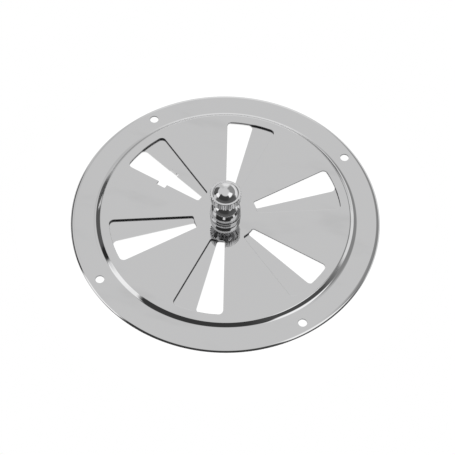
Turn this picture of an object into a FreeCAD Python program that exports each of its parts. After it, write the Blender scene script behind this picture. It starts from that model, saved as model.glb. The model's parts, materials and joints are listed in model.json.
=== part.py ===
import FreeCAD, Part
import Sketcher

import math
import os

# A round ventilation cover of polished stainless sheet with a turning shutter behind it.
# Frame: the rim stands on z = 0, the middle of the cover is the origin and +Z points out of the front.
# One slot is centred on +Y, and the screw holes lie on the diagonals.
# Lengths are in millimetres and angles in degrees.

DIMENSIONS = [
    # Cover: one pressed sheet with a turned-down rim, a flat flange and a raised middle.
    ("cover_diameter", 127.0),
    ("cover_gauge", 0.7),
    ("rim_rise", 0.85),
    ("rim_slope", 60.0),
    ("rim_bend", 0.7),
    ("flange_width", 9.95),
    ("step_rise", 1.7),
    ("step_slope", 44.0),
    ("foot_bend", 2.4),
    # Vent slots, the same in the cover and in the shutter.
    ("slot_count", 6),
    ("slot_angle", 25.4),
    ("slot_inner_radius", 13.0),
    ("slot_outer_corner", 2.0),
    ("slot_inner_corner", 1.0),
    # Screw holes in the flange.
    ("screw_count", 4),
    ("screw_hole_diameter", 3.6),
    ("screw_edge_distance", 4.8),
    # Shutter: a flat disc in the raised middle, turned from fully open by rest_turn.
    # It keeps clear of the step and laps the outer ends of the slots.
    ("shutter_clearance", 2.1),
    ("shutter_lap", 1.5),
    ("shutter_gauge", 0.5),
    ("shutter_gap", 0.3),
    ("rest_turn", 12.05),
    # Stop tab, bent up at the edge of a shutter slot, and the cover's notch that it enters when closed.
    ("tab_radius", 30.3),
    ("tab_length", 3.0),
    ("tab_rise", 1.3),
    ("tab_bend", 0.2),
    ("tab_relief_width", 0.5),
    ("tab_relief_depth", 1.3),
    ("notch_margin", 0.5),
    ("notch_depth", 1.75),
    ("notch_corner", 0.4),
    # Spindle: riveted at the back, with flats that drive the shutter and a journal that turns in the cover.
    ("journal_diameter", 6.0),
    ("journal_clearance", 0.05),
    ("drive_flats", 4.2),
    ("drive_clearance", 0.05),
    ("rivet_diameter", 7.6),
    ("rivet_height", 0.3),
    ("rivet_edge", 0.15),
    ("stud_diameter", 4.0),
    ("stud_clearance", 0.05),
    ("stud_length", 13.6),
    ("stud_chamfer", 0.4),
    # Washers between the rivet head and the shutter.
    ("washer_diameter", 10.6),
    ("washer_gauge", 0.3),
    ("spring_diameter", 12.4),
    ("spring_gauge", 0.2),
    ("spring_dish", 0.15),
    ("washer_bore_clearance", 0.1),
    # Knob base: a bulb on a low foot, with a neck that carries the cap.
    ("base_play", 0.1),
    ("foot_diameter", 12.7),
    ("foot_height", 1.0),
    ("foot_edge", 0.25),
    ("bulb_diameter", 12.3),
    ("bulb_centre_height", 3.5),
    ("neck_diameter", 5.4),
    ("neck_top_height", 11.4),
    # Knob cap: a straight-knurled band with a narrow shoulder and a domed top.
    ("band_diameter", 12.6),
    ("band_height", 3.9),
    ("band_lower_chamfer", 0.5),
    ("band_upper_chamfer", 0.2),
    ("dome_diameter", 10.6),
    ("dome_rise", 3.4),
    ("bore_tip_gap", 0.6),
    ("knurl_count", 36),
    ("knurl_depth", 0.3),
    ("knurl_flank_angle", 45.0),
]

# Heights and radii that follow from the driving dimensions.
COVER_RADIUS = "(dims.cover_diameter / 2)"
RIM_BEND_RADIUS = f"({COVER_RADIUS} - dims.rim_rise / tan(dims.rim_slope))"
STEP_FOOT_RADIUS = f"({RIM_BEND_RADIUS} - dims.flange_width)"
CREST_RADIUS = f"({STEP_FOOT_RADIUS} - dims.step_rise / tan(dims.step_slope))"
SHUTTER_RADIUS = f"({CREST_RADIUS} - dims.shutter_clearance)"
SLOT_OUTER_RADIUS = f"({SHUTTER_RADIUS} - dims.shutter_lap)"
SCREW_CIRCLE_RADIUS = f"({COVER_RADIUS} - dims.screw_edge_distance)"
STEP_OFFSET = "(dims.cover_gauge * tan(dims.step_slope / 2))"
RIM_OFFSET = "(dims.cover_gauge * tan(dims.rim_slope / 2))"
RIM_EDGE_WIDTH = "(dims.cover_gauge / sin(dims.rim_slope))"
FLANGE_TOP = "dims.rim_rise"
FLANGE_BACK = "(dims.rim_rise - dims.cover_gauge)"
RAISED_TOP = "(dims.rim_rise + dims.step_rise)"
RAISED_BACK = f"({RAISED_TOP} - dims.cover_gauge)"
SHUTTER_TOP = f"({RAISED_BACK} - dims.shutter_gap)"
SHUTTER_BACK = f"({SHUTTER_TOP} - dims.shutter_gauge)"
SPRING_BACK = f"({SHUTTER_BACK} - dims.spring_gauge - dims.spring_dish)"
WASHER_BACK = f"({SPRING_BACK} - dims.washer_gauge)"
RIVET_BACK = f"({WASHER_BACK} - dims.rivet_height)"
BASE_BOTTOM = f"({RAISED_TOP} + dims.base_play)"
CAP_BOTTOM = f"({BASE_BOTTOM} + dims.neck_top_height)"
SHOULDER_HEIGHT = f"({CAP_BOTTOM} + dims.band_height)"
STUD_TOP = f"({BASE_BOTTOM} + dims.stud_length)"
DOME_RADIUS = "((dims.dome_diameter / 2) ^ 2 + dims.dome_rise ^ 2) / (2 * dims.dome_rise)"
JOURNAL_RADIUS = "(dims.journal_diameter / 2)"
COVER_HOLE_RADIUS = f"({JOURNAL_RADIUS} + dims.journal_clearance)"
WASHER_BORE_RADIUS = f"({JOURNAL_RADIUS} + dims.washer_bore_clearance)"
STUD_BORE_RADIUS = "(dims.stud_diameter / 2 + dims.stud_clearance)"

# The stop works in the second slot, one pitch on from the slot on +Y.
STOP_SLOT_ANGLE = "(90 + 360 / dims.slot_count)"
CUT_OVERLAP = 0.5

doc = FreeCAD.newDocument("round_vent_cover")
dims = doc.addObject("Spreadsheet::Sheet", "dims")
for row, (alias, size) in enumerate(DIMENSIONS, start=1):
    dims.set(f"A{row}", alias)
    dims.set(f"B{row}", str(size))
    dims.setAlias(f"B{row}", alias)
doc.recompute()


def value_of(formula):
    """The number that a formula of sheet cells gives now."""
    return float(dims.evalExpression(formula))


def new_body(name):
    body = doc.addObject("PartDesign::Body", name)
    body.Label = name
    return body


def new_sketch(body, name, plane_role, height="0", turn="0"):
    """A sketch on one of the body's own planes, lifted by height and turned about its normal."""
    sketch = body.newObject("Sketcher::SketchObject", name)
    plane = next(feature for feature in body.Origin.OriginFeatures if feature.Role == plane_role)
    sketch.AttachmentSupport = [(plane, "")]
    sketch.MapMode = "FlatFace"
    upright = FreeCAD.Rotation(FreeCAD.Vector(0, 0, 1), value_of(turn))
    sketch.AttachmentOffset = FreeCAD.Placement(FreeCAD.Vector(0, 0, value_of(height)), upright)
    sketch.setExpression("AttachmentOffset.Base.z", height)
    if value_of(turn) != 0:
        sketch.setExpression("AttachmentOffset.Rotation.Angle", turn)
    doc.recompute()
    return sketch


def hold_point(sketch, edge, end, place):
    """Holds one end of an edge at the two formulas of its place."""
    origin = (-1, 1)
    axes = (("DistanceX", -2), ("DistanceY", -1))
    for (kind, axis), formula in zip(axes, place):
        if formula == "0":
            sketch.addConstraint(Sketcher.Constraint("PointOnObject", edge, end, axis))
            continue
        number = sketch.addConstraint(Sketcher.Constraint(kind, *origin, edge, end, value_of(formula)))
        sketch.setExpression(f"Constraints[{number}]", formula)


def draw_outline(sketch, corners, arcs=None):
    """A closed outline through the corners. arcs gives a radius and a centre for the runs that are round."""
    arcs = arcs or {}
    points = [FreeCAD.Vector(value_of(x), value_of(y), 0) for x, y in corners]
    up = FreeCAD.Vector(0, 0, 1)
    ends = []
    for run, start in enumerate(points):
        finish = points[(run + 1) % len(points)]
        if run not in arcs:
            edge = sketch.addGeometry(Part.LineSegment(start, finish), False)
            ends.append((edge, 1, 2))
            continue
        radius, centre_place = arcs[run]
        centre = FreeCAD.Vector(value_of(centre_place[0]), value_of(centre_place[1]), 0)
        from_angle = math.atan2(start.y - centre.y, start.x - centre.x)
        to_angle = math.atan2(finish.y - centre.y, finish.x - centre.x)
        anticlockwise = (to_angle - from_angle) % (2 * math.pi) < math.pi
        circle = Part.Circle(centre, up, value_of(radius))
        if anticlockwise:
            edge = sketch.addGeometry(Part.ArcOfCircle(circle, from_angle, to_angle), False)
            ends.append((edge, 1, 2))
        else:
            edge = sketch.addGeometry(Part.ArcOfCircle(circle, to_angle, from_angle), False)
            ends.append((edge, 2, 1))
    for run, (edge, start, finish) in enumerate(ends):
        next_edge, next_start, _ = ends[(run + 1) % len(ends)]
        sketch.addConstraint(Sketcher.Constraint("Coincident", edge, finish, next_edge, next_start))
    for run, (edge, start, finish) in enumerate(ends):
        hold_point(sketch, edge, start, corners[run])
    for run, (radius, _) in arcs.items():
        number = sketch.addConstraint(Sketcher.Constraint("Radius", ends[run][0], value_of(radius)))
        sketch.setExpression(f"Constraints[{number}]", radius)
    doc.recompute()


def draw_circle(sketch, radius, place=("0", "0")):
    centre = FreeCAD.Vector(value_of(place[0]), value_of(place[1]), 0)
    circle = Part.Circle(centre, FreeCAD.Vector(0, 0, 1), value_of(radius))
    edge = sketch.addGeometry(circle, False)
    hold_point(sketch, edge, 3, place)
    number = sketch.addConstraint(Sketcher.Constraint("Radius", edge, value_of(radius)))
    sketch.setExpression(f"Constraints[{number}]", radius)
    doc.recompute()


def revolve(body, name, corners, arcs=None):
    """Turns a profile, given as radius and height, about the Z axis."""
    sketch = new_sketch(body, f"{name}_profile", "XZ_Plane")
    draw_outline(sketch, corners, arcs)
    feature = body.newObject("PartDesign::Revolution", name)
    feature.Profile = sketch
    feature.ReferenceAxis = (sketch, ["V_Axis"])
    feature.Angle = 360
    sketch.Visibility = False
    doc.recompute()
    return feature


def pad_up(body, name, sketch, length):
    feature = body.newObject("PartDesign::Pad", name)
    feature.Profile = sketch
    feature.setExpression("Length", length)
    doc.recompute()
    return feature


def cut_through(body, name, sketch):
    """Cuts the sketch right through the body, both ways from its plane."""
    feature = body.newObject("PartDesign::Pocket", name)
    feature.Profile = sketch
    feature.Type = "ThroughAll"
    feature.SideType = "Symmetric"
    doc.recompute()
    return feature


def repeat_round(body, name, feature, sketch, count):
    """Repeats a feature evenly round the Z axis."""
    pattern = body.newObject("PartDesign::PolarPattern", name)
    pattern.Originals = [feature]
    pattern.Axis = (sketch, ["N_Axis"])
    pattern.Angle = 360
    pattern.setExpression("Occurrences", count)
    body.Tip = pattern
    doc.recompute()
    return pattern


def round_edges(body, name, feature, is_wanted, radius):
    """Rounds the edges of a feature that the test picks."""
    edges = [f"Edge{i}" for i, edge in enumerate(feature.Shape.Edges, start=1) if is_wanted(edge)]
    if not edges:
        raise RuntimeError(f"{name} found no edge")
    fillet = body.newObject("PartDesign::Fillet", name)
    fillet.Base = (feature, edges)
    fillet.setExpression("Radius", radius)
    doc.recompute()
    return fillet


def is_ring(edge, radius, height):
    """True for a full circle about Z with this radius, at this height."""
    if not isinstance(edge.Curve, Part.Circle):
        return False
    here = (edge.Curve.Radius, edge.Curve.Center.z)
    return math.dist(here, (value_of(radius), value_of(height))) < 1e-4


def is_upright_at(edge, sketch, places):
    """True for a straight edge along Z through one of the places of a sketch."""
    if not isinstance(edge.Curve, Part.Line):
        return False
    if abs(edge.tangentAt(edge.FirstParameter).z) < 0.999:
        return False
    to_sketch = sketch.Placement.inverse()
    here = to_sketch.multVec(edge.CenterOfMass)
    return any(math.dist((here.x, here.y), (value_of(x), value_of(y))) < 1e-4 for x, y in places)


def draw_slot(sketch):
    """One vent slot about +Y: two radial edges, two arcs about the middle and four rounded corners."""
    half = "(dims.slot_angle * 1 deg / 2)"
    outer_reach = f"({SLOT_OUTER_RADIUS} - dims.slot_outer_corner)"
    inner_reach = "(dims.slot_inner_radius + dims.slot_inner_corner)"
    outer_turn = f"({half} - asin(dims.slot_outer_corner / {outer_reach}))"
    inner_turn = f"({half} - asin(dims.slot_inner_corner / {inner_reach}))"
    outer_tangent = f"sqrt({outer_reach} ^ 2 - dims.slot_outer_corner ^ 2)"
    inner_tangent = f"sqrt({inner_reach} ^ 2 - dims.slot_inner_corner ^ 2)"

    def place(reach, turn, side):
        return (f"{side} * {reach} * sin({turn})", f"{reach} * cos({turn})")

    corners = [
        place(SLOT_OUTER_RADIUS, outer_turn, 1),
        place(SLOT_OUTER_RADIUS, outer_turn, -1),
        place(outer_tangent, half, -1),
        place(inner_tangent, half, -1),
        place("dims.slot_inner_radius", inner_turn, -1),
        place("dims.slot_inner_radius", inner_turn, 1),
        place(inner_tangent, half, 1),
        place(outer_tangent, half, 1),
    ]
    middle = ("0", "0")
    arcs = {
        0: (SLOT_OUTER_RADIUS, middle),
        1: ("dims.slot_outer_corner", place(outer_reach, outer_turn, -1)),
        3: ("dims.slot_inner_corner", place(inner_reach, inner_turn, -1)),
        4: ("dims.slot_inner_radius", middle),
        5: ("dims.slot_inner_corner", place(inner_reach, inner_turn, 1)),
        7: ("dims.slot_outer_corner", place(outer_reach, outer_turn, 1)),
    }
    draw_outline(sketch, corners, arcs)


def cut_slots(body):
    sketch = new_sketch(body, f"{body.Name}_slot_outline", "XY_Plane")
    draw_slot(sketch)
    slot = cut_through(body, f"{body.Name}_slot", sketch)
    return repeat_round(body, f"{body.Name}_slots", slot, sketch, "dims.slot_count")


def draw_box(sketch, left, right, bottom, top):
    draw_outline(sketch, [(left, bottom), (right, bottom), (right, top), (left, top)])


def draw_drive(sketch, clearance):
    """A circle with two flats, which turns the shutter with the spindle."""
    radius = f"({JOURNAL_RADIUS} + {clearance})"
    flat = f"(dims.drive_flats / 2 + {clearance})"
    reach = f"sqrt({radius} ^ 2 - {flat} ^ 2)"
    corners = [
        (reach, f"-{flat}"),
        (reach, flat),
        (f"-{reach}", flat),
        (f"-{reach}", f"-{flat}"),
    ]
    middle = ("0", "0")
    draw_outline(sketch, corners, {0: (radius, middle), 2: (radius, middle)})


def turn_to_rest(body):
    """Turns a piece that moves with the shutter from fully open to where it rests."""
    turned = FreeCAD.Rotation(FreeCAD.Vector(0, 0, 1), value_of("dims.rest_turn"))
    body.Placement = FreeCAD.Placement(FreeCAD.Vector(0, 0, 0), turned)
    body.setExpression("Placement.Rotation.Angle", "dims.rest_turn")
    doc.recompute()


def make_cover():
    body = new_body("cover_plate")
    rim_inside = f"({COVER_RADIUS} - {RIM_EDGE_WIDTH})"
    rim_inner_bend = (f"{RIM_BEND_RADIUS} - {RIM_OFFSET}", FLANGE_BACK)
    step_foot = (STEP_FOOT_RADIUS, FLANGE_TOP)
    step_foot_back = (f"{STEP_FOOT_RADIUS} - {STEP_OFFSET}", FLANGE_BACK)
    crest = (CREST_RADIUS, RAISED_TOP)
    crest_back = (f"{CREST_RADIUS} - {STEP_OFFSET}", RAISED_BACK)
    rim_bend = (RIM_BEND_RADIUS, FLANGE_TOP)
    corners = [
        (COVER_HOLE_RADIUS, RAISED_BACK),
        crest_back,
        step_foot_back,
        rim_inner_bend,
        (rim_inside, "0"),
        (COVER_RADIUS, "0"),
        rim_bend,
        step_foot,
        crest,
        (COVER_HOLE_RADIUS, RAISED_TOP),
    ]
    bent = revolve(body, "pressed_sheet", corners)
    for name, ring, radius in (
        ("foot_bend", step_foot, "dims.foot_bend"),
        ("foot_bend_back", step_foot_back, "dims.foot_bend + dims.cover_gauge"),
        ("rim_bend", rim_bend, "dims.rim_bend + dims.cover_gauge"),
    ):
        bent = round_edges(body, name, bent, lambda edge: is_ring(edge, *ring), radius)
    cut_slots(body)
    cut_stop_notch(body)
    cut_screw_holes(body)
    return body


def cut_stop_notch(body):
    """A small notch in the edge of one slot, which lets the stop tab in when the shutter is closed."""
    turn = f"{STOP_SLOT_ANGLE} + dims.slot_angle / 2"
    half_length = "(dims.tab_length / 2 + dims.notch_margin)"
    inner = f"dims.tab_radius - {half_length}"
    outer = f"dims.tab_radius + {half_length}"
    sketch = new_sketch(body, "notch_outline", "XY_Plane", turn=turn)
    draw_box(sketch, inner, outer, f"-{CUT_OVERLAP}", "dims.notch_depth")
    notch = cut_through(body, "notch", sketch)
    deep_corners = [(inner, "dims.notch_depth"), (outer, "dims.notch_depth")]
    round_edges(
        body, "notch_corners", notch, lambda edge: is_upright_at(edge, sketch, deep_corners),
        "dims.notch_corner",
    )


def cut_screw_holes(body):
    sketch = new_sketch(body, "screw_hole_outline", "XY_Plane")
    diagonal = "180 / dims.screw_count"
    place = (f"{SCREW_CIRCLE_RADIUS} * cos({diagonal})", f"{SCREW_CIRCLE_RADIUS} * sin({diagonal})")
    draw_circle(sketch, "dims.screw_hole_diameter / 2", place)
    hole = cut_through(body, "screw_hole", sketch)
    repeat_round(body, "screw_holes", hole, sketch, "dims.screw_count")


def make_shutter():
    body = new_body("shutter_plate")
    revolve(
        body, "shutter_disc",
        [
            ("0", SHUTTER_BACK),
            (SHUTTER_RADIUS, SHUTTER_BACK),
            (SHUTTER_RADIUS, SHUTTER_TOP),
            ("0", SHUTTER_TOP),
        ],
    )
    cut_slots(body)
    drive_sketch = new_sketch(body, "drive_hole_outline", "XY_Plane")
    draw_drive(drive_sketch, "dims.drive_clearance")
    cut_through(body, "drive_hole", drive_sketch)
    add_stop_tab(body)
    turn_to_rest(body)
    return body


def add_stop_tab(body):
    """A short strip freed by two relief cuts at the edge of a slot and bent up, flush with that edge."""
    turn = f"{STOP_SLOT_ANGLE} - dims.slot_angle / 2"
    inner = "(dims.tab_radius - dims.tab_length / 2)"
    outer = "(dims.tab_radius + dims.tab_length / 2)"
    for side, near, far in (
        ("inner", f"{inner} - dims.tab_relief_width", inner),
        ("outer", outer, f"{outer} + dims.tab_relief_width"),
    ):
        relief_sketch = new_sketch(body, f"{side}_relief_outline", "XY_Plane", turn=turn)
        draw_box(relief_sketch, near, far, "-dims.tab_relief_depth", str(CUT_OVERLAP))
        cut_through(body, f"{side}_relief", relief_sketch)
    tab_sketch = new_sketch(body, "tab_outline", "XY_Plane", height=SHUTTER_BACK, turn=turn)
    draw_box(tab_sketch, inner, outer, "-dims.shutter_gauge", "0")
    tab = pad_up(body, "tab", tab_sketch, "dims.shutter_gauge + dims.tab_rise")

    def is_bend_at(edge, across, height):
        """True for a straight edge along the tab, at a place across it and a height."""
        if not isinstance(edge.Curve, Part.Line):
            return False
        here = tab_sketch.Placement.inverse().multVec(edge.CenterOfMass)
        place = (value_of("dims.tab_radius"), value_of(across), value_of(height) - value_of(SHUTTER_BACK))
        return math.dist((here.x, here.y, here.z), place) < 1e-4

    inside = round_edges(
        body, "tab_inside_bend", tab, lambda edge: is_bend_at(edge, "-dims.shutter_gauge", SHUTTER_TOP),
        "dims.tab_bend",
    )
    round_edges(
        body, "tab_outside_bend", inside, lambda edge: is_bend_at(edge, "0", SHUTTER_BACK),
        "dims.tab_bend + dims.shutter_gauge / 2",
    )


def make_spindle():
    body = new_body("spindle")
    rivet_radius = "dims.rivet_diameter / 2"
    revolve(
        body, "rivet_head",
        [
            ("0", RIVET_BACK),
            (f"{rivet_radius} - dims.rivet_edge", RIVET_BACK),
            (rivet_radius, f"{RIVET_BACK} + dims.rivet_edge"),
            (rivet_radius, WASHER_BACK),
            ("0", WASHER_BACK),
        ],
    )
    drive_sketch = new_sketch(body, "drive_outline", "XY_Plane", height=WASHER_BACK)
    draw_drive(drive_sketch, "0")
    pad_up(body, "drive", drive_sketch, f"{SHUTTER_TOP} - {WASHER_BACK}")
    journal_sketch = new_sketch(body, "journal_outline", "XY_Plane", height=SHUTTER_TOP)
    draw_circle(journal_sketch, JOURNAL_RADIUS)
    pad_up(body, "journal", journal_sketch, f"{BASE_BOTTOM} - {SHUTTER_TOP}")
    stud_radius = "dims.stud_diameter / 2"
    tip_radius = f"({stud_radius} - dims.stud_chamfer)"
    revolve(
        body, "stud",
        [
            ("0", BASE_BOTTOM),
            (stud_radius, BASE_BOTTOM),
            (stud_radius, f"{STUD_TOP} - dims.stud_chamfer"),
            (tip_radius, STUD_TOP),
            ("0", STUD_TOP),
        ],
    )
    turn_to_rest(body)
    return body


def make_back_washer():
    body = new_body("back_washer")
    radius = "dims.washer_diameter / 2"
    revolve(
        body, "washer_ring",
        [
            (WASHER_BORE_RADIUS, WASHER_BACK),
            (radius, WASHER_BACK),
            (radius, SPRING_BACK),
            (WASHER_BORE_RADIUS, SPRING_BACK),
        ],
    )
    return body


def make_spring_washer():
    """A dished washer: its inner edge rests on the back washer and its outer edge on the shutter."""
    body = new_body("spring_washer")
    radius = "dims.spring_diameter / 2"
    revolve(
        body, "dished_ring",
        [
            (WASHER_BORE_RADIUS, SPRING_BACK),
            (radius, f"{SPRING_BACK} + dims.spring_dish"),
            (radius, SHUTTER_BACK),
            (WASHER_BORE_RADIUS, f"{SPRING_BACK} + dims.spring_gauge"),
        ],
    )
    return body


def make_knob_base():
    """A turned bulb on a low foot. Its neck carries the cap, and the stud runs through it."""
    body = new_body("knob_base")
    foot_radius = "dims.foot_diameter / 2"
    bulb_radius = "(dims.bulb_diameter / 2)"
    neck_radius = "dims.neck_diameter / 2"
    foot_top = f"({BASE_BOTTOM} + dims.foot_height)"
    bulb_centre = f"({BASE_BOTTOM} + dims.bulb_centre_height)"
    bulb_start = f"sqrt({bulb_radius} ^ 2 - (dims.bulb_centre_height - dims.foot_height) ^ 2)"
    bulb_end = f"({bulb_centre} + sqrt({bulb_radius} ^ 2 - (dims.neck_diameter / 2) ^ 2))"
    corners = [
        (STUD_BORE_RADIUS, BASE_BOTTOM),
        (foot_radius, BASE_BOTTOM),
        (foot_radius, f"{foot_top} - dims.foot_edge"),
        (f"{foot_radius} - dims.foot_edge", foot_top),
        (bulb_start, foot_top),
        (neck_radius, bulb_end),
        (neck_radius, CAP_BOTTOM),
        (STUD_BORE_RADIUS, CAP_BOTTOM),
    ]
    revolve(body, "base_turning", corners, {4: (bulb_radius, ("0", bulb_centre))})
    return body


def make_knob_cap():
    """A knurled band with a dome on top, bored blind from below for the stud."""
    body = new_body("knob_cap")
    band_radius = "(dims.band_diameter / 2)"
    dome_edge = "dims.dome_diameter / 2"
    dome_top = f"({SHOULDER_HEIGHT} + dims.dome_rise)"
    bore_top = f"({STUD_TOP} + dims.bore_tip_gap)"
    corners = [
        (STUD_BORE_RADIUS, CAP_BOTTOM),
        (f"{band_radius} - dims.band_lower_chamfer", CAP_BOTTOM),
        (band_radius, f"{CAP_BOTTOM} + dims.band_lower_chamfer"),
        (band_radius, f"{SHOULDER_HEIGHT} - dims.band_upper_chamfer"),
        (f"{band_radius} - dims.band_upper_chamfer", SHOULDER_HEIGHT),
        (dome_edge, SHOULDER_HEIGHT),
        ("0", dome_top),
        ("0", bore_top),
        (STUD_BORE_RADIUS, bore_top),
    ]
    dome_centre = ("0", f"{dome_top} - {DOME_RADIUS}")
    revolve(body, "cap_turning", corners, {5: (DOME_RADIUS, dome_centre)})
    sketch = new_sketch(body, "knurl_outline", "XY_Plane")
    past_band = f"({band_radius} + {CUT_OVERLAP})"
    half_width = f"(dims.knurl_depth + {CUT_OVERLAP}) * tan(dims.knurl_flank_angle)"
    draw_outline(
        sketch,
        [("0", f"{band_radius} - dims.knurl_depth"), (half_width, past_band), (f"-{half_width}", past_band)],
    )
    groove = cut_through(body, "knurl_groove", sketch)
    repeat_round(body, "knurl", groove, sketch, "dims.knurl_count")
    return body


def check_document():
    """Stops if an object failed, a cut removed nothing or a sub-part is not one valid solid."""
    for item in doc.Objects:
        if "Invalid" in item.State or "Error" in item.State:
            raise RuntimeError(f"{item.Name} failed: {item.State}")
        if item.TypeId in ("PartDesign::Pocket", "PartDesign::PolarPattern"):
            if item.Shape.Volume >= item.BaseFeature.Shape.Volume - 1e-6:
                raise RuntimeError(f"{item.Name} removed nothing")


pieces = [
    make_cover(),
    make_shutter(),
    make_spindle(),
    make_back_washer(),
    make_spring_washer(),
    make_knob_base(),
    make_knob_cap(),
]
doc.recompute()
check_document()
for piece in pieces:
    if piece.Shape.isNull() or not piece.Shape.isValid() or len(piece.Shape.Solids) != 1:
        raise RuntimeError(f"{piece.Label} is not one valid solid")

os.makedirs("parts", exist_ok=True)
for piece in pieces:
    piece.Shape.exportStep(f"parts/{piece.Label}.step")
    print(f"{piece.Label}: {piece.Shape.Volume:.2f} cubic millimetres")
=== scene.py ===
import json
import math

import bmesh
import bpy
from bpy.props import FloatProperty, FloatVectorProperty, IntProperty, PointerProperty
from mathutils import Matrix, Vector


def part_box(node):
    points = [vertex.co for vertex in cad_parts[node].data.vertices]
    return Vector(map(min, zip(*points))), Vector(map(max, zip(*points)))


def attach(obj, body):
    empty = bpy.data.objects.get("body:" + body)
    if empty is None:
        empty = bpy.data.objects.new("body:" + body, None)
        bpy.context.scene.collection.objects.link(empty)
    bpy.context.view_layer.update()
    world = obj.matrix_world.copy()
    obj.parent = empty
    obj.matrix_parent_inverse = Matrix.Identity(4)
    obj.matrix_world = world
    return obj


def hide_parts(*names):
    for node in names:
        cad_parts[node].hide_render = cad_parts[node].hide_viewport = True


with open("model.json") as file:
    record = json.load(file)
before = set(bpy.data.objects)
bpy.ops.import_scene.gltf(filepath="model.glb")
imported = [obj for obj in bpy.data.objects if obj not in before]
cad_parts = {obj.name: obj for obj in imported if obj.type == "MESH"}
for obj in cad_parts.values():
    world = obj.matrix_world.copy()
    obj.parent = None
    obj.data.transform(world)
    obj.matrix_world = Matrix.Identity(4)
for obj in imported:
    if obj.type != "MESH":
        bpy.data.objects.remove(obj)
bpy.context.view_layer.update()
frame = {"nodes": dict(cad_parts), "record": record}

bl_info = {
    "name": "Round Vent Cover",
    "version": (1, 0, 0),
    "blender": (4, 5, 0),
    "location": "View3D > Sidebar > Vent Cover",
    "description": "Dresses a round vent cover with a turning shutter and sets it on a pale stage",
    "category": "Object",
}

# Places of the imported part, in metres. The rim stands on z = 0 and the knob points along +Z.
COVER_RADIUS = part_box("cover_plate")[1].x
RAISED_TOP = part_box("cover_plate")[1].z
SHUTTER_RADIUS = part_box("shutter_plate")[1].x
BASE_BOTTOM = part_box("knob_base")[0].z
CAP_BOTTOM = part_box("knob_cap")[0].z
DOME_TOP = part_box("knob_cap")[1].z
STUD_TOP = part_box("spindle")[1].z
SCREW_MOUNT = next(mount for mount in frame["record"]["mounts"] if mount["kind"] == "bolt_pattern")
MM = 0.001

AXIS_UP = Vector((0, 0, 1))
PROFILE_NORMAL = Vector((0, -1, 0))
MIDDLE = Vector((0, 0, 0))
QUARTER = math.pi / 2

# Edges of a finish that turn by more than this are left crisp.
CRISP_ANGLE = math.radians(32)

# A face is level where its normal's upright part is past this, and upright where it is within the rest of 1.
FLAT_LIMIT = 0.99999

# Points nearer than this are one point, and points within the trim of a cut are on it.
JOIN_DISTANCE = 0.001 * MM
TRIM_DISTANCE = 0.0001 * MM

# Facets of the turned pieces: round the knob's base, and along its bulb, its dome and its foot's edge.
BASE_SEGMENTS = 128
BULB_STEPS = 32
DOME_STEPS = 32
FOOT_EDGE_STEPS = 6
STEPS_PER_GROOVE = 8

# Directions of the polishing lines and of the wiping marks on the sheet.
POLISHING_TURN = 0.5
WIPING_TURN = -0.6

# Where a Mix node takes its two colours and gives its result.
MIX_FIRST, MIX_SECOND, MIX_RESULT = 6, 7, 2

# Smudges on the sheet reflect this share of what the clean sheet does.
SMUDGE_SHADE = 0.93

# Each card hangs nearer than the last by this share of the distance.
CARD_SPACING = 0.02

# The floor lies this far under the part, clear of its rim.
FLOOR_DROP = 0.02 * MM
FLOOR_SEGMENTS = 128


class CoverSizes(bpy.types.PropertyGroup):
    """Sizes of the pressed cover."""

    gauge: FloatProperty(
        name="Gauge", description="Thickness of the sheet", default=0.7 * MM, unit="LENGTH", precision=5
    )
    rim_rise: FloatProperty(
        name="Rim rise", description="Height of the flange above the wall", default=0.85 * MM, unit="LENGTH"
    )
    rim_slope: FloatProperty(
        name="Rim slope", description="Slope of the turned-down rim",
        default=math.radians(60), subtype="ANGLE",
    )
    rim_bend: FloatProperty(
        name="Rim bend", description="Outside radius of the bend at the rim", default=1.9 * MM, unit="LENGTH"
    )
    flange_width: FloatProperty(
        name="Flange width", description="Flat ring that takes the screws", default=9.95 * MM, unit="LENGTH"
    )
    step_slope: FloatProperty(
        name="Step slope", description="Slope up to the raised middle",
        default=math.radians(44), subtype="ANGLE",
    )
    crest_bend: FloatProperty(
        name="Crest bend", description="Radius at the top of the step", default=0.75 * MM, unit="LENGTH"
    )
    foot_bend: FloatProperty(
        name="Foot bend", description="Radius at the foot of the step", default=2.4 * MM, unit="LENGTH"
    )
    spindle_hole: FloatProperty(
        name="Spindle hole", description="Radius of the middle hole", default=3.05 * MM, unit="LENGTH"
    )
    slot_count: IntProperty(name="Slots", description="Number of vent slots", default=6, min=1)
    slot_angle: FloatProperty(
        name="Slot angle", description="Angle between a slot's edges",
        default=math.radians(25.4), subtype="ANGLE",
    )
    slot_inner: FloatProperty(
        name="Slot inner radius", description="Where the slots start", default=13 * MM, unit="LENGTH"
    )
    slot_lap: FloatProperty(
        name="Slot lap", description="Shutter left outside the slots", default=1.5 * MM, unit="LENGTH"
    )
    slot_outer_corner: FloatProperty(
        name="Outer corner", description="Radius of a slot's outer corners", default=2 * MM, unit="LENGTH"
    )
    slot_inner_corner: FloatProperty(
        name="Inner corner", description="Radius of a slot's inner corners", default=1 * MM, unit="LENGTH"
    )
    notch_radius: FloatProperty(
        name="Notch place", description="Distance of the notch from the middle",
        default=30.3 * MM, unit="LENGTH",
    )
    notch_length: FloatProperty(
        name="Notch length", description="Length of the stop notch", default=4 * MM, unit="LENGTH"
    )
    notch_depth: FloatProperty(
        name="Notch depth", description="Depth of the stop notch", default=1.75 * MM, unit="LENGTH"
    )
    notch_corner: FloatProperty(
        name="Notch corner", description="Radius of the notch's corners", default=0.4 * MM, unit="LENGTH"
    )
    punch_round: FloatProperty(
        name="Punched edge", description="Rounding of the cut edges in front",
        default=0.08 * MM, unit="LENGTH",
    )


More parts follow.
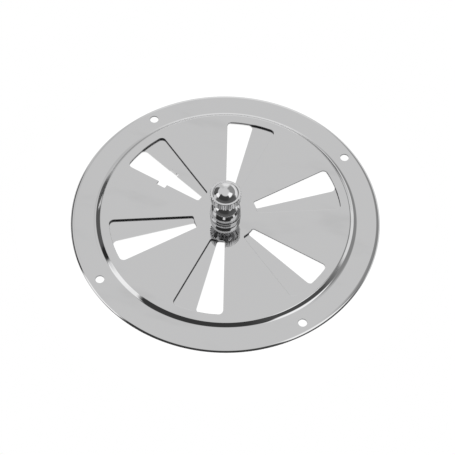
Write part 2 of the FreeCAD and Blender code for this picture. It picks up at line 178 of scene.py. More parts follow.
class KnobSizes(bpy.types.PropertyGroup):
    """Sizes of the two turned pieces of the knob."""

    bore: FloatProperty(
        name="Bore", description="Radius of the stud's bore", default=2.05 * MM, unit="LENGTH"
    )
    bore_gap: FloatProperty(
        name="Bore gap", description="Room above the stud's tip", default=0.6 * MM, unit="LENGTH"
    )
    foot_radius: FloatProperty(
        name="Foot", description="Radius of the foot", default=6.35 * MM, unit="LENGTH"
    )
    foot_height: FloatProperty(
        name="Foot height", description="Height of the foot", default=1 * MM, unit="LENGTH"
    )
    foot_edge: FloatProperty(
        name="Foot edge", description="Rounding of the foot's edge", default=0.25 * MM, unit="LENGTH"
    )
    bulb_radius: FloatProperty(
        name="Bulb", description="Radius of the bulb", default=6.15 * MM, unit="LENGTH"
    )
    bulb_height: FloatProperty(
        name="Bulb height", description="Bulb's centre above the foot's base", default=3.5 * MM, unit="LENGTH"
    )
    neck_radius: FloatProperty(name="Neck", description="Radius of the neck", default=2.7 * MM, unit="LENGTH")
    band_radius: FloatProperty(
        name="Band", description="Radius of the knurled band", default=6.3 * MM, unit="LENGTH"
    )
    band_lower_edge: FloatProperty(
        name="Lower edge", description="Chamfer under the band", default=0.5 * MM, unit="LENGTH"
    )
    band_upper_edge: FloatProperty(
        name="Upper edge", description="Chamfer on the band", default=0.2 * MM, unit="LENGTH"
    )
    dome_edge: FloatProperty(
        name="Dome", description="Radius of the dome's edge", default=5.3 * MM, unit="LENGTH"
    )
    dome_rise: FloatProperty(
        name="Dome rise", description="Height of the dome on the band", default=3.4 * MM, unit="LENGTH"
    )
    knurl_count: IntProperty(name="Knurl", description="Grooves round the band", default=36, min=3)
    knurl_depth: FloatProperty(
        name="Knurl depth", description="Depth of a groove", default=0.3 * MM, unit="LENGTH"
    )
    knurl_flank: FloatProperty(
        name="Knurl flank", description="Slope of a groove's sides", default=math.radians(45), subtype="ANGLE"
    )


class Finishes(bpy.types.PropertyGroup):
    """Colours of the metals, as reflected light."""

    sheet_colour: FloatVectorProperty(
        name="Polished sheet", description="Mirror-polished stainless sheet", default=(0.53, 0.53, 0.533),
        subtype="COLOR", min=0, max=1,
    )
    # Painted shade: the walls of the holes get this dark colour, far darker than the sheet, to stand for the
    # shade along the cut edges. Only a little of it is the real dullness of a sheared edge.
    cut_shade_colour: FloatVectorProperty(
        name="Cut edges", description="Sheared walls of the holes, left dull", default=(0.2, 0.2, 0.205),
        subtype="COLOR", min=0, max=1,
    )
    chrome_colour: FloatVectorProperty(
        name="Knob chrome", description="Bright plating of the knob", default=(0.565, 0.565, 0.57),
        subtype="COLOR", min=0, max=1,
    )
    spindle_colour: FloatVectorProperty(
        name="Spindle steel", description="Turned steel",
        default=(0.62, 0.62, 0.63), subtype="COLOR", min=0, max=1,
    )
    washer_colour: FloatVectorProperty(
        name="Washer steel", description="Plain steel",
        default=(0.66, 0.66, 0.67), subtype="COLOR", min=0, max=1,
    )
    spring_colour: FloatVectorProperty(
        name="Spring steel", description="Plain spring steel", default=(0.5, 0.49, 0.48),
        subtype="COLOR", min=0, max=1,
    )


class StageSettings(bpy.types.PropertyGroup):
    """Camera, floor and the light all round."""

    camera_azimuth: FloatProperty(
        name="Azimuth", description="Camera's turn round the part",
        default=math.radians(13.05), subtype="ANGLE",
    )
    camera_elevation: FloatProperty(
        name="Elevation", description="Camera's height above the floor", default=math.radians(56.26),
        subtype="ANGLE",
    )
    camera_roll: FloatProperty(
        name="Roll", description="Camera's tilt to the side", default=math.radians(0.84), subtype="ANGLE"
    )
    camera_distance: FloatProperty(
        name="Distance", description="From the camera to the flange", default=0.6597, unit="LENGTH"
    )
    camera_lens: FloatProperty(name="Lens", description="Focal length in millimetres", default=127.1)
    aim_right: FloatProperty(
        name="Aim right", description="Picture's middle, right of the part's",
        default=0.88 * MM, unit="LENGTH",
    )
    aim_up: FloatProperty(
        name="Aim up", description="Picture's middle, above the part's", default=-4.47 * MM, unit="LENGTH"
    )
    room_level: FloatProperty(
        name="Room", description="Brightness of the white all round", default=1.0, min=0
    )
    card_distance: FloatProperty(
        name="Card distance", description="From the part to the furthest card", default=3.0, unit="LENGTH"
    )
    floor_radius: FloatProperty(name="Floor", description="Radius of the floor", default=0.085, unit="LENGTH")
    floor_glow: FloatProperty(
        name="Floor glow", description="Floor's own brightness as seen and mirrored",
        default=0.93, min=0, max=1,
    )
    floor_shade: FloatProperty(
        name="Floor shade", description="Share of the light that shows the shadow", default=0.17, min=0, max=1
    )
    floor_colour: FloatVectorProperty(
        name="Floor colour", description="Pale floor under other light", default=(0.8, 0.8, 0.8),
        subtype="COLOR", min=0, max=1,
    )


# Curved cards that hang round the part, in front of the white: side angle from the camera to the right,
# elevation, half width, half height and width of the soft edge, all in degrees, then brightness. Each hangs a
# little nearer than the one before it.
STUDIO_CARDS = {
    "back_wall": (180, 20, 30, 18, 6, 1.3),
    "right_wall": (120, 32, 40, 30, 16, 0.42),
    "right_low": (125, 4, 32, 9, 6, 1.25),
    "left_wall": (-155, 15, 10, 40, 15, 0.85),
    "front_flag": (-10, 25, 60, 30, 10, 0.07),
    "right_flag": (55, 15, 30, 25, 20, 0.12),
    "low_flag": (5, 0, 80, 15, 15, 0.16),
    "left_flag": (-122, 8, 20, 22, 8, 0.16),
    "left_gap": (-100, 14, 5, 15, 4, 0.04),
    "left_softbox": (-80, 26, 16, 11, 6, 1.6),
    "right_softbox": (65, 50, 25, 15, 10, 1.65),
}


class Pen:
    """Draws a chain of edges in the plane across its axis."""

    def __init__(self, bm, start, axis):
        self.bm = bm
        self.axis = axis
        self.tip = bm.verts.new(start)

    def line(self, place):
        """Runs straight on to a place."""
        self.tip = bmesh.ops.extrude_vert_indiv(self.bm, verts=[self.tip])["verts"][0]
        self.tip.co = place

    def arc(self, centre, angle, steps):
        """Runs on round a centre."""
        turned = bmesh.ops.spin(
            self.bm, geom=[self.tip], cent=centre, axis=self.axis, angle=angle, steps=steps
        )
        self.tip = next(item for item in turned["geom_last"] if isinstance(item, bmesh.types.BMVert))


def profile_point(radius, height):
    """A place on the half section that is turned about the middle."""
    return Vector((radius, 0, height))


def turn_profile(bm, known, steps):
    """Spins what was drawn after the known vertices a full turn about the middle."""
    drawn = [vert for vert in bm.verts if vert not in known]
    edges = {edge for vert in drawn for edge in vert.link_edges}
    bmesh.ops.spin(
        bm, geom=drawn + list(edges), cent=MIDDLE, axis=AXIS_UP, angle=2 * math.pi, steps=steps,
        use_merge=True,
    )


def close_seams(bm):
    """Joins points that meet, then points the faces outwards."""
    bmesh.ops.remove_doubles(bm, verts=bm.verts[:], dist=JOIN_DISTANCE)
    bmesh.ops.recalc_face_normals(bm, faces=bm.faces[:])


def crisp_edges(bm):
    """Shades curved faces smoothly and keeps flat faces and sharp edges crisp."""
    for face in bm.faces:
        face.smooth = True
    for edge in bm.edges:
        if len(edge.link_faces) != 2:
            continue
        flats = [abs(face.normal.z) > FLAT_LIMIT for face in edge.link_faces]
        edge.smooth = edge.calc_face_angle() < CRISP_ANGLE and flats[0] == flats[1]


def add_piece(name, bm, material, body, node):
    """Makes a piece from a bmesh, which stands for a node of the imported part."""
    if bm.calc_volume(signed=True) <= 0:
        raise RuntimeError(f"{name} is inside out")
    crisp_edges(bm)
    mesh = bpy.data.meshes.new(name)
    bm.to_mesh(mesh)
    bm.free()
    mesh.materials.append(material)
    piece = bpy.data.objects.new(name, mesh)
    bpy.context.scene.collection.objects.link(piece)
    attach(piece, body)
    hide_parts(node)
    return piece


def finish_of(name):
    """The first material of a finished piece, for another piece of the same finish."""
    return bpy.data.objects[name].data.materials[0]


def finish_node(name, material):
    """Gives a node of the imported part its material."""
    mesh = frame["nodes"][name].data
    mesh.materials.clear()
    mesh.materials.append(material)


def add_node(tree, kind, inputs=None, **settings):
    """A shader node with its settings, and its inputs as values or as other nodes' outputs."""
    node = tree.nodes.new(kind)
    for setting, value in settings.items():
        setattr(node, setting, value)
    for socket, value in (inputs or {}).items():
        if isinstance(value, bpy.types.NodeSocket):
            tree.links.new(value, node.inputs[socket])
        else:
            node.inputs[socket].default_value = value
    return node


def new_metal(name, colour):
    """An empty metal material: its tree, its shader and the coordinates of the piece."""
    material = bpy.data.materials.new(name)
    material.use_nodes = True
    tree = material.node_tree
    shader = tree.nodes["Principled BSDF"]
    shader.inputs["Base Color"].default_value = (*colour, 1)
    shader.inputs["Metallic"].default_value = 1
    place = add_node(tree, "ShaderNodeTexCoord").outputs["Object"]
    return material, tree, shader, place


def patchy(tree, place, scale, patches, levels):
    """Cloudy patches: where the noise is between two patch values, the result runs between two levels."""
    clouds = add_node(tree, "ShaderNodeTexNoise", {"Vector": place, "Scale": scale, "Detail": 4})
    spread = add_node(
        tree, "ShaderNodeMapRange",
        {
            "Value": clouds.outputs["Fac"],
            "From Min": patches[0], "From Max": patches[1],
            "To Min": levels[0], "To Max": levels[1],
        },
        interpolation_type="SMOOTHSTEP",
    )
    return spread.outputs["Result"]


def polished_sheet(colour):
    """Mirror-polished sheet: nearly flat, with faint wipe marks and fine polishing lines."""
    material, tree, shader, place = new_metal("polished_sheet", colour)
    roughness = patchy(tree, place, scale=48, patches=(0.5, 0.72), levels=(0.02, 0.08))
    tree.links.new(roughness, shader.inputs["Roughness"])
    waves = add_node(tree, "ShaderNodeTexNoise", {"Vector": place, "Scale": 28, "Detail": 1})
    rolled = add_node(
        tree, "ShaderNodeBump", {"Strength": 0.6, "Distance": 0.05 * MM, "Height": waves.outputs["Fac"]}
    )
    stretched = add_node(
        tree, "ShaderNodeMapping",
        {"Vector": place, "Rotation": (0, 0, POLISHING_TURN), "Scale": (90, 5000, 90)},
    )
    lines = add_node(
        tree, "ShaderNodeTexNoise", {"Vector": stretched.outputs["Vector"], "Scale": 1, "Detail": 2}
    )
    brushed = add_node(
        tree, "ShaderNodeBump",
        {
            "Strength": 0.05, "Distance": 0.01 * MM,
            "Height": lines.outputs["Fac"], "Normal": rolled.outputs["Normal"],
        },
    )
    tree.links.new(brushed.outputs["Normal"], shader.inputs["Normal"])
    streaks = add_node(
        tree, "ShaderNodeMapping", {"Vector": place, "Rotation": (0, 0, WIPING_TURN), "Scale": (1, 2.6, 1)}
    )
    wiped = streaks.outputs["Vector"]
    smudges = patchy(tree, wiped, scale=30, patches=(0.54, 0.76), levels=(0.0, 1.0))
    smudged = [level * SMUDGE_SHADE for level in colour]
    tint = add_node(
        tree, "ShaderNodeMix",
        {"Factor": smudges, MIX_FIRST: (*colour, 1), MIX_SECOND: (*smudged, 1)},
        data_type="RGBA",
    )
    tree.links.new(tint.outputs[MIX_RESULT], shader.inputs["Base Color"])
    return material


def shaded_cut_edge(colour):
    """Sheared wall of a hole: rough, with upright drag lines, in a colour darkened well past the sheet's as
    painted shade.
    """
    material, tree, shader, place = new_metal("shaded_cut_edge", colour)
    upright = add_node(tree, "ShaderNodeMapping", {"Vector": place, "Scale": (6, 6, 0.5)})
    sheared = upright.outputs["Vector"]
    drag = patchy(tree, sheared, scale=900, patches=(0.35, 0.65), levels=(0.3, 0.55))
    tree.links.new(drag, shader.inputs["Roughness"])
    return material


def bright_chrome(colour):
    """Plated turning: a clean mirror with a few duller touches."""
    material, tree, shader, place = new_metal("knob_chrome", colour)
    roughness = patchy(tree, place, scale=220, patches=(0.48, 0.7), levels=(0.03, 0.1))
    tree.links.new(roughness, shader.inputs["Roughness"])
    return material


def turned_steel(name, colour, ring_scale, roughness):
    """Plain steel with rings left by the tool."""
    material, tree, shader, place = new_metal(name, colour)
    dullest = roughness + 0.15
    dull = patchy(tree, place, scale=300, patches=(0.35, 0.7), levels=(roughness, dullest))
    tree.links.new(dull, shader.inputs["Roughness"])
    rings = add_node(
        tree, "ShaderNodeTexWave", {"Vector": place, "Scale": ring_scale, "Distortion": 0.3},
        wave_type="RINGS", rings_direction="Z",
    )
    cut = add_node(
        tree, "ShaderNodeBump", {"Strength": 0.25, "Distance": 0.01 * MM, "Height": rings.outputs["Fac"]}
    )
    tree.links.new(cut.outputs["Normal"], shader.inputs["Normal"])
    return material


def draw_ring(bm, radius, height, segments, centre=(0, 0)):
    """A level circle of edges."""
    place = Matrix.Translation((centre[0], centre[1], height))
    bmesh.ops.create_circle(bm, cap_ends=False, segments=segments, radius=radius, matrix=place)


def draw_slot(bm, sizes, turn, notched):
    """The outline of one vent slot, centred on an angle, with the stop's notch where it has one."""
    half = sizes.slot_angle / 2
    outer, outer_corner = SHUTTER_RADIUS - sizes.slot_lap, sizes.slot_outer_corner
    inner, inner_corner = sizes.slot_inner, sizes.slot_inner_corner
    outer_turn = half - math.asin(outer_corner / (outer - outer_corner))
    inner_turn = half - math.asin(inner_corner / (inner + inner_corner))
    outer_tangent = math.sqrt((outer - outer_corner) ** 2 - outer_corner**2)
    inner_tangent = math.sqrt((inner + inner_corner) ** 2 - inner_corner**2)
    outer_sweep = QUARTER + half - outer_turn
    inner_sweep = QUARTER + inner_turn - half
    corner_steps, end_steps = 8, 24

    def at(radius, angle):
        return Vector((radius * math.cos(turn + angle), radius * math.sin(turn + angle), RAISED_TOP))

    pen = Pen(bm, at(outer, -outer_turn), AXIS_UP)
    pen.arc(MIDDLE, 2 * outer_turn, end_steps)
    pen.arc(at(outer - outer_corner, outer_turn), outer_sweep, corner_steps)
    if notched:
        draw_notch(pen, sizes, turn + half)
    pen.line(at(inner_tangent, half))
    pen.arc(at(inner + inner_corner, inner_turn), inner_sweep, corner_steps)
    pen.arc(MIDDLE, -2 * inner_turn, corner_steps)
    pen.arc(at(inner + inner_corner, -inner_turn), inner_sweep, corner_steps)
    pen.line(at(outer_tangent, -half))
    pen.arc(at(outer - outer_corner, -outer_turn), outer_sweep, corner_steps)


def draw_notch(pen, sizes, angle):
    """A small notch out of a slot's edge, which lies at this angle."""
    corner, depth = sizes.notch_corner, sizes.notch_depth
    far = sizes.notch_radius + sizes.notch_length / 2
    near = sizes.notch_radius - sizes.notch_length / 2
    along = Vector((math.cos(angle), math.sin(angle), 0))
    aside = Vector((-math.sin(angle), math.cos(angle), 0))
    top = AXIS_UP * RAISED_TOP
    corner_steps = 6
    pen.line(top + along * far)
    pen.line(top + along * far + aside * (depth - corner))
    pen.arc(top + along * (far - corner) + aside * (depth - corner), QUARTER, corner_steps)
    pen.line(top + along * (near + corner) + aside * depth)
    pen.arc(top + along * (near + corner) + aside * (depth - corner), QUARTER, corner_steps)
    pen.line(top + along * near)


def fill_flat(bm, known):
    """Fills a flat between the outlines that were drawn after the known edges."""
    drawn = [vert for vert in bm.verts if all(edge not in known for edge in vert.link_edges)]
    bmesh.ops.remove_doubles(bm, verts=drawn, dist=JOIN_DISTANCE)
    outlines = [edge for edge in bm.edges if edge not in known]
    bmesh.ops.triangle_fill(bm, use_beauty=True, edges=outlines, normal=AXIS_UP)


def press_front(bm, sizes):
    """The front of the sheet: raised middle, step, flange and rim, as one skin."""
    segments, bend_steps, hole_segments = 288, 10, 64
    stop_slot = 1
    flange_top = sizes.rim_rise
    step_rise = RAISED_TOP - flange_top
    rim_corner = COVER_RADIUS - flange_top / math.tan(sizes.rim_slope)
    foot_corner = rim_corner - sizes.flange_width
    crest_corner = foot_corner - step_rise / math.tan(sizes.step_slope)
    crest_start = crest_corner - sizes.crest_bend * math.tan(sizes.step_slope / 2)
    foot_end = foot_corner + sizes.foot_bend * math.tan(sizes.step_slope / 2)
    rim_start = rim_corner - sizes.rim_bend * math.tan(sizes.rim_slope / 2)

    draw_ring(bm, crest_start, RAISED_TOP, segments)
    draw_ring(bm, sizes.spindle_hole, RAISED_TOP, hole_segments)
    for slot in range(sizes.slot_count):
        turn = QUARTER + slot * 2 * math.pi / sizes.slot_count
        draw_slot(bm, sizes, turn, notched=slot == stop_slot)
    fill_flat(bm, set())

    known = set(bm.edges)
    draw_ring(bm, foot_end, flange_top, segments)
    draw_ring(bm, rim_start, flange_top, segments)
    pattern = SCREW_MOUNT["dims"]
    for screw in range(pattern["count"]):
        angle = (screw + 0.5) * 2 * math.pi / pattern["count"]
        reach = pattern["pcd_mm"] / 2 * MM
        draw_ring(
            bm, pattern["hole_r_mm"] * MM, flange_top, hole_segments,
            (reach * math.cos(angle), reach * math.sin(angle)),
        )
    fill_flat(bm, known)

    known = set(bm.verts)
    foot_centre = profile_point(foot_end, flange_top + sizes.foot_bend)
    foot_normal = profile_point(-math.sin(sizes.step_slope), -math.cos(sizes.step_slope))
    pen = Pen(bm, profile_point(crest_start, RAISED_TOP), PROFILE_NORMAL)
    pen.arc(profile_point(crest_start, RAISED_TOP - sizes.crest_bend), -sizes.step_slope, bend_steps)
    pen.line(foot_centre + foot_normal * sizes.foot_bend)
    pen.arc(foot_centre, sizes.step_slope, bend_steps)
    turn_profile(bm, known, segments)

    known = set(bm.verts)
    spare = sizes.gauge
    pen = Pen(bm, profile_point(rim_start, flange_top), PROFILE_NORMAL)
    pen.arc(profile_point(rim_start, flange_top - sizes.rim_bend), -sizes.rim_slope, bend_steps)
    pen.line(profile_point(COVER_RADIUS + spare / math.tan(sizes.rim_slope), -spare))
    turn_profile(bm, known, segments)
    close_seams(bm)
    if sum(face.normal.z * face.calc_area() for face in bm.faces) < 0:
        bmesh.ops.reverse_faces(bm, faces=bm.faces[:])


class VENT_OT_press_cover(bpy.types.Operator):
    """Press the round cover from sheet, with its slots, stop notch, screw holes and turned-down rim"""

    bl_idname = "vent_cover.press_cover"
    bl_label = "Press Cover"

    def execute(self, context):
        sizes = context.scene.vent_cover_sizes
        bm = bmesh.new()
        press_front(bm, sizes)
        bmesh.ops.solidify(bm, geom=bm.faces[:], thickness=sizes.gauge)
        everything = bm.verts[:] + bm.edges[:] + bm.faces[:]
        bmesh.ops.bisect_plane(
            bm, geom=everything, dist=TRIM_DISTANCE, plane_co=MIDDLE, plane_no=-AXIS_UP, clear_outer=True
        )
        trimmed = [edge for edge in bm.edges if edge.is_boundary]
        bmesh.ops.bridge_loops(bm, edges=trimmed)
        punched = [edge for edge in bm.edges if is_punched(edge)]
        bmesh.ops.bevel(
            bm, geom=punched, offset=sizes.punch_round, affect="EDGES", segments=2, profile=0.5, material=-1
        )
        # Upright faces, which are the walls of the slots and holes, take the second material, whose dark
        # colour is painted shade.
        for face in bm.faces:
            face.material_index = int(abs(face.normal.z) < 1 - FLAT_LIMIT)
        finishes = context.scene.vent_finishes
        material = polished_sheet(finishes.sheet_colour)
        cover = add_piece("pressed_cover", bm, material, "cover", "cover_plate")
        cover.data.materials.append(shaded_cut_edge(finishes.cut_shade_colour))
        return {"FINISHED"}


def is_punched(edge):
    """True between the front of a flat and the wall of a hole."""
    if len(edge.link_faces) != 2:
        return False
    slopes = sorted(face.normal.z for face in edge.link_faces)
    return slopes[1] > FLAT_LIMIT and abs(slopes[0]) < 1 - FLAT_LIMIT


class VENT_OT_finish_shutter(bpy.types.Operator):
    """Polish the shutter, with its stop tab"""

    bl_idname = "vent_cover.finish_shutter"
    bl_label = "Finish Shutter"

    def execute(self, context):
        finish_node("shutter_plate", finish_of("pressed_cover"))
        return {"FINISHED"}


class VENT_OT_turn_knob_base(bpy.types.Operator):
    """Turn the knob's base: a bulb on a low foot, with a neck for the cap"""

    bl_idname = "vent_cover.turn_knob_base"
    bl_label = "Turn Knob Base"

    def execute(self, context):
        sizes = context.scene.vent_knob_sizes
        foot_top = BASE_BOTTOM + sizes.foot_height
        bulb_centre = BASE_BOTTOM + sizes.bulb_height
        bulb_from = math.asin((foot_top - bulb_centre) / sizes.bulb_radius)
        bulb_to = math.acos(sizes.neck_radius / sizes.bulb_radius)
        bulb_start = sizes.bulb_radius * math.cos(bulb_from)
        edge_start = sizes.foot_radius - sizes.foot_edge
        edge_height = foot_top - sizes.foot_edge
        bm = bmesh.new()
        pen = Pen(bm, profile_point(sizes.bore, BASE_BOTTOM), PROFILE_NORMAL)
        pen.line(profile_point(sizes.foot_radius, BASE_BOTTOM))
        pen.line(profile_point(sizes.foot_radius, edge_height))
        pen.arc(profile_point(edge_start, edge_height), QUARTER, FOOT_EDGE_STEPS)
        pen.line(profile_point(bulb_start, foot_top))
        pen.arc(profile_point(0, bulb_centre), bulb_to - bulb_from, BULB_STEPS)
        pen.line(profile_point(sizes.neck_radius, CAP_BOTTOM))
        pen.line(profile_point(sizes.bore, CAP_BOTTOM))
        pen.line(profile_point(sizes.bore, BASE_BOTTOM))
        turn_profile(bm, set(), BASE_SEGMENTS)
        close_seams(bm)
        material = bright_chrome(context.scene.vent_finishes.chrome_colour)
        add_piece("turned_knob_base", bm, material, "shutter", "knob_base")
        return {"FINISHED"}


def cut_knurl(bm, sizes):
    """Draws the band's points in to the floor and flanks of straight grooves."""
    pitch = 2 * math.pi / sizes.knurl_count
    for vert in bm.verts:
        reach = vert.co.xy.length
        if reach < sizes.band_radius - sizes.knurl_depth:
            continue
        angle = math.atan2(vert.co.y, vert.co.x)
        aside = abs((angle + pitch / 2) % pitch - pitch / 2) * sizes.band_radius
        depth = max(0.0, sizes.knurl_depth - aside / math.tan(sizes.knurl_flank))
        vert.co.xy *= min(reach, sizes.band_radius - depth) / reach


class VENT_OT_turn_knob_cap(bpy.types.Operator):
    """Turn the knob's cap: a straight-knurled band with a dome on top"""

    bl_idname = "vent_cover.turn_knob_cap"
    bl_label = "Turn Knob Cap"

    def execute(self, context):
        sizes = context.scene.vent_knob_sizes
        bore_top = STUD_TOP + sizes.bore_gap
        shoulder = DOME_TOP - sizes.dome_rise
        dome_radius = (sizes.dome_edge**2 + sizes.dome_rise**2) / (2 * sizes.dome_rise)
        band = sizes.band_radius
        bm = bmesh.new()
        pen = Pen(bm, profile_point(0, bore_top), PROFILE_NORMAL)
        pen.line(profile_point(sizes.bore, bore_top))
        pen.line(profile_point(sizes.bore, CAP_BOTTOM))
        pen.line(profile_point(band - sizes.band_lower_edge, CAP_BOTTOM))
        pen.line(profile_point(band, CAP_BOTTOM + sizes.band_lower_edge))
        pen.line(profile_point(band, shoulder - sizes.band_upper_edge))
        pen.line(profile_point(band - sizes.band_upper_edge, shoulder))
        pen.line(profile_point(sizes.dome_edge, shoulder))
        dome_sweep = math.asin(sizes.dome_edge / dome_radius)
        pen.arc(profile_point(0, DOME_TOP - dome_radius), dome_sweep, DOME_STEPS)
        turn_profile(bm, set(), sizes.knurl_count * STEPS_PER_GROOVE)
        close_seams(bm)
        cut_knurl(bm, sizes)
        bm.normal_update()
        material = finish_of("turned_knob_base")
        add_piece("knurled_knob_cap", bm, material, "shutter", "knob_cap")
        return {"FINISHED"}


class VENT_OT_finish_spindle(bpy.types.Operator):
    """Finish the spindle and the two washers behind the shutter"""

    bl_idname = "vent_cover.finish_spindle"
    bl_label = "Finish Spindle"

    def execute(self, context):
        finishes = context.scene.vent_finishes
        turned = turned_steel("spindle_steel", finishes.spindle_colour, ring_scale=900, roughness=0.25)
        plain = turned_steel("washer_steel", finishes.washer_colour, ring_scale=500, roughness=0.3)
        sprung = turned_steel("spring_steel", finishes.spring_colour, ring_scale=700, roughness=0.28)
        finish_node("spindle", turned)
        finish_node("back_washer", plain)
        finish_node("spring_washer", sprung)
        return {"FINISHED"}


def soft_span(tree, position, half, edge):
    """Runs from 1 across the middle of a card to 0 at two of its edges."""
    middle = 0.5
    offset = add_node(tree, "ShaderNodeMath", {0: position, 1: middle}, operation="SUBTRACT")
    distance = add_node(tree, "ShaderNodeMath", {0: offset.outputs[0]}, operation="ABSOLUTE")
    margin = edge / (2 * half + edge)
    span = add_node(
        tree, "ShaderNodeMapRange",
        {
            "Value": distance.outputs[0],
            "From Min": middle - margin, "From Max": middle,
            "To Min": 1.0, "To Max": 0.0,
        },
        interpolation_type="SMOOTHSTEP",
    )
    return span.outputs["Result"]


def card_paper(name, half_width, half_height, edge, level):
    """Paper of one even brightness that fades out at the card's soft edges."""
    material = bpy.data.materials.new(name)
    material.use_nodes = True
    tree = material.node_tree
    tree.nodes.clear()
    place = add_node(tree, "ShaderNodeTexCoord").outputs["UV"]
    parts = add_node(tree, "ShaderNodeSeparateXYZ", {"Vector": place})
    across = soft_span(tree, parts.outputs["X"], half_width, edge)
    upright = soft_span(tree, parts.outputs["Y"], half_height, edge)
    mask = add_node(tree, "ShaderNodeMath", {0: across, 1: upright}, operation="MULTIPLY")
    clear = add_node(tree, "ShaderNodeBsdfTransparent")
    bright = add_node(tree, "ShaderNodeEmission", {"Strength": level})
    paper = add_node(
        tree, "ShaderNodeMixShader",
        {0: mask.outputs[0], 1: clear.outputs["BSDF"], 2: bright.outputs["Emission"]},
    )
    add_node(tree, "ShaderNodeOutputMaterial", {"Surface": paper.outputs["Shader"]})
    return material


def hang_card(name, card, distance, azimuth):
    """Hangs one curved card round the part, out of the camera's sight."""
    side_angle, elevation, half_width, half_height, edge, level = card
    bm = bmesh.new()
    bm.loops.layers.uv.new("card")
    columns, rows = 40, 24
    bmesh.ops.create_grid(bm, x_segments=columns, y_segments=rows, size=1, calc_uvs=True)
    for vert in bm.verts:
        side = azimuth + math.radians(side_angle + vert.co.x * (half_width + edge / 2))
        rise = math.radians(elevation + vert.co.y * (half_height + edge / 2))
        level_reach = distance * math.cos(rise)
        vert.co = (level_reach * math.sin(side), -level_reach * math.cos(side), distance * math.sin(rise))
    mesh = bpy.data.meshes.new(name)
    bm.to_mesh(mesh)
    bm.free()
    mesh.materials.append(card_paper(name, half_width, half_height, edge, level))
    sheet = bpy.data.objects.new(name, mesh)
    sheet.visible_camera = False
    bpy.context.scene.collection.objects.link(sheet)


def light_studio(stage):
    """A white room, which the camera and the metal both see, with cards hung in it."""
    world = bpy.data.worlds.new("white_room")
    world.use_nodes = True
    background = world.node_tree.nodes["Background"]
    background.inputs["Color"].default_value = (1, 1, 1, 1)
    background.inputs["Strength"].default_value = stage.room_level
    bpy.context.scene.world = world
    for place, (name, card) in enumerate(STUDIO_CARDS.items()):
        distance = stage.card_distance * (1 - CARD_SPACING * place)
        hang_card(name, card, distance, stage.camera_azimuth)


def pale_floor(stage):
    """White as seen and as mirrored, with the part's shadow kept, and clear from below."""
    material = bpy.data.materials.new("pale_floor")
    material.use_nodes = True
    tree = material.node_tree
    tree.nodes.clear()
    path = add_node(tree, "ShaderNodeLightPath").outputs
    looked_at = add_node(
        tree, "ShaderNodeMath", {0: path["Is Camera Ray"], 1: path["Is Glossy Ray"]}, operation="MAXIMUM"
    )
    looked_through = add_node(
        tree, "ShaderNodeMath", {0: looked_at.outputs[0], 1: path["Is Transmission Ray"]}, operation="MAXIMUM"
    )
    plain = add_node(tree, "ShaderNodeBsdfDiffuse", {"Color": (*stage.floor_colour, 1)})
    shade = (stage.floor_shade,) * 3
    shadow = add_node(tree, "ShaderNodeBsdfDiffuse", {"Color": (*shade, 1)})
    glow = add_node(tree, "ShaderNodeEmission", {"Strength": stage.floor_glow})
    white = add_node(tree, "ShaderNodeAddShader", {0: shadow.outputs["BSDF"], 1: glow.outputs["Emission"]})
    front = add_node(
        tree, "ShaderNodeMixShader",
        {0: looked_through.outputs[0], 1: plain.outputs["BSDF"], 2: white.outputs["Shader"]},
    )
    clear = add_node(tree, "ShaderNodeBsdfTransparent")
    behind = add_node(tree, "ShaderNodeNewGeometry").outputs["Backfacing"]
    both = add_node(
        tree, "ShaderNodeMixShader", {0: behind, 1: front.outputs["Shader"], 2: clear.outputs["BSDF"]}
    )
    add_node(tree, "ShaderNodeOutputMaterial", {"Surface": both.outputs["Shader"]})
    return material


def lay_floor(stage):
    """A round pale floor, just under the part."""
    bm = bmesh.new()
    below = Matrix.Translation((0, 0, -FLOOR_DROP))
    bmesh.ops.create_circle(
        bm, cap_ends=True, segments=FLOOR_SEGMENTS, radius=stage.floor_radius, matrix=below
    )
    mesh = bpy.data.meshes.new("floor")
    bm.to_mesh(mesh)
    bm.free()
    mesh.materials.append(pale_floor(stage))
    floor = bpy.data.objects.new("floor", mesh)
    bpy.context.scene.collection.objects.link(floor)


def place_camera(stage, aim_height):
    """Stands the camera where the picture was taken from."""
    turn, rise, roll = stage.camera_azimuth, stage.camera_elevation, stage.camera_roll
    back = Vector((math.sin(turn) * math.cos(rise), -math.cos(turn) * math.cos(rise), math.sin(rise)))
    level = Vector((math.cos(turn), math.sin(turn), 0))
    right = Matrix.Rotation(roll, 3, back) @ level
    up = back.cross(right)
    camera = bpy.data.objects.new("camera", bpy.data.cameras.new("camera"))
    camera.data.lens = stage.camera_lens
    aim = AXIS_UP * aim_height + right * stage.aim_right + up * stage.aim_up
    axes = Matrix((right, up, back)).transposed().to_4x4()
    camera.matrix_world = Matrix.Translation(aim + back * stage.camera_distance) @ axes
    bpy.context.scene.collection.objects.link(camera)
    bpy.context.scene.camera = camera


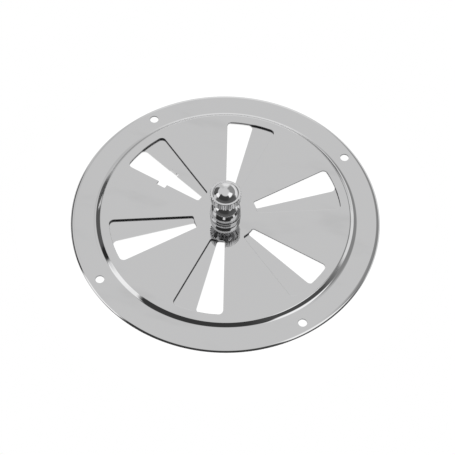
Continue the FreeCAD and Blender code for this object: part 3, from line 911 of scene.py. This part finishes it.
class VENT_OT_set_stage(bpy.types.Operator):
    """Set the floor, the light all round and the camera"""

    bl_idname = "vent_cover.set_stage"
    bl_label = "Set Stage"

    def execute(self, context):
        stage = context.scene.vent_stage
        lay_floor(stage)
        light_studio(stage)
        place_camera(stage, context.scene.vent_cover_sizes.rim_rise)
        context.scene.view_settings.view_transform = "Standard"
        return {"FINISHED"}


OPERATORS = (
    VENT_OT_press_cover,
    VENT_OT_finish_shutter,
    VENT_OT_turn_knob_base,
    VENT_OT_turn_knob_cap,
    VENT_OT_finish_spindle,
    VENT_OT_set_stage,
)

SETTINGS = {
    "vent_cover_sizes": CoverSizes,
    "vent_knob_sizes": KnobSizes,
    "vent_finishes": Finishes,
    "vent_stage": StageSettings,
}


class VENT_PT_sidebar(bpy.types.Panel):
    """The steps that dress the vent cover, and the values that they use"""

    bl_idname = "VENT_PT_sidebar"
    bl_label = "Vent Cover"
    bl_space_type = "VIEW_3D"
    bl_region_type = "UI"
    bl_category = "Vent Cover"

    def draw(self, context):
        for operator in OPERATORS:
            self.layout.operator(operator.bl_idname)
        for name, group in SETTINGS.items():
            box = self.layout.box()
            for setting in group.__annotations__:
                box.prop(getattr(context.scene, name), setting)


def register():
    for group in SETTINGS.values():
        bpy.utils.register_class(group)
    for operator in OPERATORS:
        bpy.utils.register_class(operator)
    bpy.utils.register_class(VENT_PT_sidebar)
    for name, group in SETTINGS.items():
        setattr(bpy.types.Scene, name, PointerProperty(type=group))


def unregister():
    for name in SETTINGS:
        delattr(bpy.types.Scene, name)
    bpy.utils.unregister_class(VENT_PT_sidebar)
    for operator in reversed(OPERATORS):
        bpy.utils.unregister_class(operator)
    for group in reversed(SETTINGS.values()):
        bpy.utils.unregister_class(group)


def main():
    register()
    bpy.ops.vent_cover.press_cover()
    bpy.ops.vent_cover.finish_shutter()
    bpy.ops.vent_cover.turn_knob_base()
    bpy.ops.vent_cover.turn_knob_cap()
    bpy.ops.vent_cover.finish_spindle()
    bpy.ops.vent_cover.set_stage()


if __name__ == "__main__":
    main()
